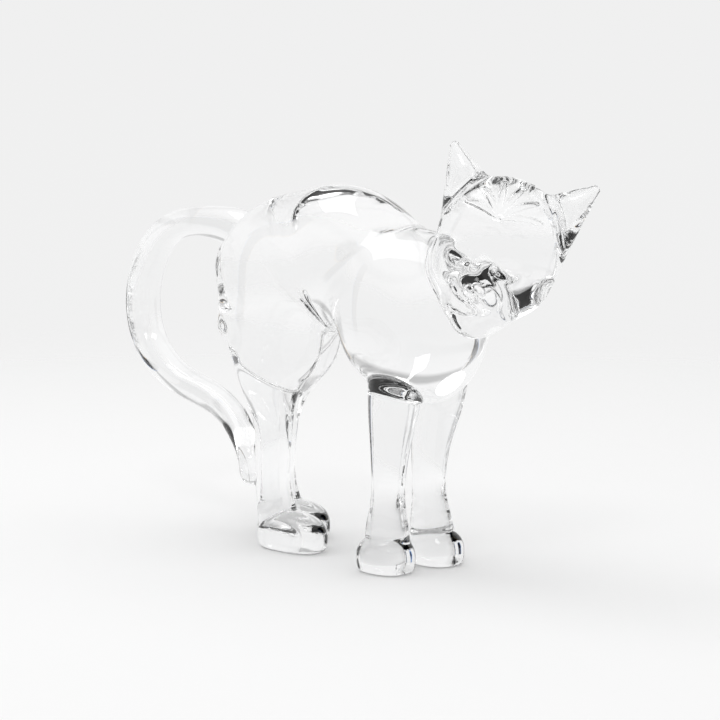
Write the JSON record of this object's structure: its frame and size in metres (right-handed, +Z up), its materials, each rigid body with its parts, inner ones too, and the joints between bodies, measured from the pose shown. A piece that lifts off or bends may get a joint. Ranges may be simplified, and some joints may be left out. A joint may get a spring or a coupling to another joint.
{
  "type": "crystal cat figurine",
  "caption": "Clear crystal cat standing with an arched back, its head turned to its right and its tail looped down to a hind leg; it rests on its paws.",
  "frame": {"origin": "on the ground, under the middle of the whole figure", "axes": "+X the way the body faces, -Y the cat's right side, +Z up"},
  "size_m": [0.2376, 0.0558, 0.1622],
  "materials": {
    "crystal": "clear, fire-polished"
  },
  "bodies": {
    "root": {"torso": "crystal", "head": "crystal", "right_ear": "crystal", "left_ear": "crystal", "tail": "crystal", "right_foreleg": "crystal", "left_foreleg": "crystal", "right_hind_leg": "crystal", "left_hind_leg": "crystal", "right_fore_paw": "crystal", "left_fore_paw": "crystal", "right_hind_paw": "crystal", "left_hind_paw": "crystal"}
  },
  "joints": []
}
